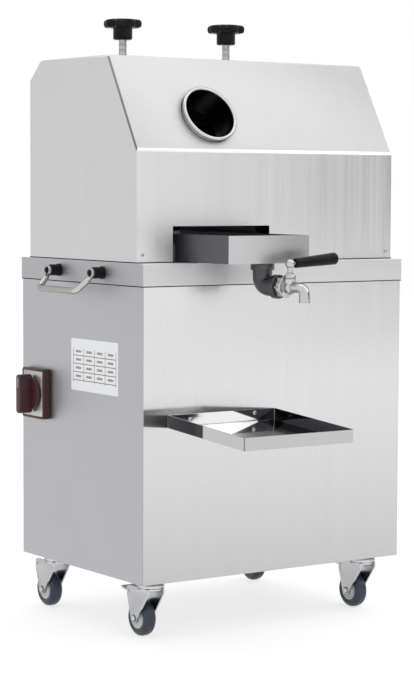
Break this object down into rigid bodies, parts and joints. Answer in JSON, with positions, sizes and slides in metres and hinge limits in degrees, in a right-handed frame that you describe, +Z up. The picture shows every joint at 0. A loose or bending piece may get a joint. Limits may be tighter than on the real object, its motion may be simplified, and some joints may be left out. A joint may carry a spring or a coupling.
{
  "type": "sugarcane juicer",
  "caption": "Electric sugarcane juicer: sheet-steel cabinet on casters with a fluted roller press under a sloped hood, juice tray with tap, cup tray, side handles and a rotary switch.",
  "frame": {"origin": "on the floor, under the middle of the overall footprint", "axes": "+X to the right as the operator faces the machine, +Y to the back, +Z up"},
  "size_m": [0.551, 0.5426, 0.8828],
  "materials": {
    "brushed_steel": "brushed stainless sheet",
    "polished_steel": "polished stainless",
    "cast_steel": "machined casting",
    "chrome": "bright plate",
    "dark_paint": "satin paint",
    "black_plastic": "black moulding",
    "brown_plastic": "dark brown moulding",
    "blue_rubber": "blue-grey tyre"
  },
  "bodies": {
    "frame": {"bed_plate": "dark_paint", "bed_rail_left": "dark_paint", "bed_rail_right": "dark_paint", "cabinet_shell": "brushed_steel", "cable_gland": "black_plastic", "caster_plate_front_left": "chrome", "caster_plate_front_right": "chrome", "caster_plate_rear_left": "chrome", "caster_plate_rear_right": "chrome", "cheek_left": "cast_steel", "cheek_right": "cast_steel", "cup_tray": "polished_steel", "deck_plate": "brushed_steel", "discharge_chute": "brushed_steel", "feed_tube": "polished_steel", "gearbox": "dark_paint", "gearbox_pedestal": "dark_paint", "handle_bail_left": "chrome", "handle_bail_right": "chrome", "handle_post_left_back": "black_plastic", "handle_post_left_front": "black_plastic", "handle_post_right_back": "black_plastic", "handle_post_right_front": "black_plastic", "hood": "brushed_steel", "motor": "dark_paint", "rear_panel": "brushed_steel", "screw_cap_left": "cast_steel", "screw_cap_right": "cast_steel", "switch_bezel": "brown_plastic", "tie_rod_back": "polished_steel", "tie_rod_front": "polished_steel", "turner_bar": "cast_steel"},
    "front_press_roller": {"front_roller": "polished_steel", "front_gear": "cast_steel"},
    "rear_press_roller": {"rear_roller": "polished_steel", "rear_gear": "cast_steel"},
    "carriage": {"top_block_left": "cast_steel", "top_block_right": "cast_steel"},
    "top_press_roller": {"top_roller": "polished_steel", "top_gear": "cast_steel"},
    "left_screw": {"pressure_screw_left": "chrome", "star_knob_left": "black_plastic"},
    "right_screw": {"pressure_screw_right": "chrome", "star_knob_right": "black_plastic"},
    "juice_drawer": {"juice_tray": "brushed_steel", "outlet_elbow": "cast_steel", "tap_body": "chrome"},
    "tap_handle": {"tap_lever": "chrome", "lever_grip": "black_plastic"},
    "switch": {"switch_knob": "brown_plastic"},
    "front_left_swivel": {"caster_fork_front_left": "chrome"},
    "front_left_wheel": {"caster_wheel_front_left": "blue_rubber"},
    "front_left_pedal": {"brake_pedal_front_left": "chrome"},
    "front_right_swivel": {"caster_fork_front_right": "chrome"},
    "front_right_wheel": {"caster_wheel_front_right": "blue_rubber"},
    "front_right_pedal": {"brake_pedal_front_right": "chrome"},
    "rear_left_swivel": {"caster_fork_rear_left": "chrome"},
    "rear_left_wheel": {"caster_wheel_rear_left": "blue_rubber"},
    "rear_right_swivel": {"caster_fork_rear_right": "chrome"},
    "rear_right_wheel": {"caster_wheel_rear_right": "blue_rubber"}
  },
  "joints": [
    {"name": "front_roller_spin", "type": "hinge", "parent": "frame", "child": "front_press_roller", "pos_m": [-0.07, 0.027, 0.6543], "axis": [1, 0, 0], "continuous": true},
    {"name": "rear_roller_spin", "type": "hinge", "parent": "frame", "child": "rear_press_roller", "pos_m": [-0.07, 0.125, 0.6543], "axis": [1, 0, 0], "continuous": true},
    {"name": "top_roller_lift", "type": "slide", "parent": "frame", "child": "carriage", "axis": [0, 0, 1], "range_m": [0, 0.003]},
    {"name": "top_roller_spin", "type": "hinge", "parent": "carriage", "child": "top_press_roller", "pos_m": [-0.07, 0.076, 0.72327], "axis": [1, 0, 0], "continuous": true},
    {"name": "left_screw_turn", "type": "hinge", "parent": "carriage", "child": "left_screw", "pos_m": [-0.1615, 0.076, 0.80327], "axis": [0, 0, 1], "range_deg": [0, 617.2]},
    {"name": "right_screw_turn", "type": "hinge", "parent": "carriage", "child": "right_screw", "pos_m": [0.0215, 0.076, 0.80327], "axis": [0, 0, 1], "range_deg": [0, 617.2]},
    {"name": "juice_tray_pull", "type": "slide", "parent": "frame", "child": "juice_drawer", "axis": [0, -1, 0], "range_m": [0, 0.2]},
    {"name": "tap_lever_turn", "type": "hinge", "parent": "juice_drawer", "child": "tap_handle", "pos_m": [-0.05969, -0.19716, 0.5354], "axis": [0, 0, 1], "range_deg": [-90, 0]},
    {"name": "switch_turn", "type": "hinge", "parent": "frame", "child": "switch", "pos_m": [-0.2546, 0.1995, 0.332], "axis": [1, 0, 0], "range_deg": [-60, 60]},
    {"name": "front_left_swivel_turn", "type": "hinge", "parent": "frame", "child": "front_left_swivel", "pos_m": [-0.1925, -0.0495, 0.062], "axis": [0, 0, 1], "continuous": true},
    {"name": "front_left_wheel_spin", "type": "hinge", "parent": "front_left_swivel", "child": "front_left_wheel", "pos_m": [-0.1925, -0.0275, 0.026], "axis": [1, 0, 0], "continuous": true},
    {"name": "front_left_pedal_press", "type": "hinge", "parent": "front_left_swivel", "child": "front_left_pedal", "pos_m": [-0.1925, -0.0145, 0.064], "axis": [1, 0, 0], "range_deg": [-20, 0]},
    {"name": "front_right_swivel_turn", "type": "hinge", "parent": "frame", "child": "front_right_swivel", "pos_m": [0.1925, -0.0495, 0.062], "axis": [0, 0, 1], "continuous": true},
    {"name": "front_right_wheel_spin", "type": "hinge", "parent": "front_right_swivel", "child": "front_right_wheel", "pos_m": [0.1925, -0.0275, 0.026], "axis": [1, 0, 0], "continuous": true},
    {"name": "front_right_pedal_press", "type": "hinge", "parent": "front_right_swivel", "child": "front_right_pedal", "pos_m": [0.1925, -0.0145, 0.064], "axis": [1, 0, 0], "range_deg": [-20, 0]},
    {"name": "rear_left_swivel_turn", "type": "hinge", "parent": "frame", "child": "rear_left_swivel", "pos_m": [-0.1925, 0.2115, 0.062], "axis": [0, 0, 1], "continuous": true},
    {"name": "rear_left_wheel_spin", "type": "hinge", "parent": "rear_left_swivel", "child": "rear_left_wheel", "pos_m": [-0.1925, 0.2335, 0.026], "axis": [1, 0, 0], "continuous": true},
    {"name": "rear_right_swivel_turn", "type": "hinge", "parent": "frame", "child": "rear_right_swivel", "pos_m": [0.1925, 0.2115, 0.062], "axis": [0, 0, 1], "continuous": true},
    {"name": "rear_right_wheel_spin", "type": "hinge", "parent": "rear_right_swivel", "child": "rear_right_wheel", "pos_m": [0.1925, 0.2335, 0.026], "axis": [1, 0, 0], "continuous": true}
  ],
  "couplings": [
    {"joint": "rear_roller_spin", "follows": "front_roller_spin", "ratio": 1},
    {"joint": "top_roller_spin", "follows": "front_roller_spin", "ratio": -1},
    {"joint": "left_screw_turn", "follows": "top_roller_lift", "rad_per_m": 3590.4},
    {"joint": "right_screw_turn", "follows": "top_roller_lift", "rad_per_m": 3590.4}
  ]
}
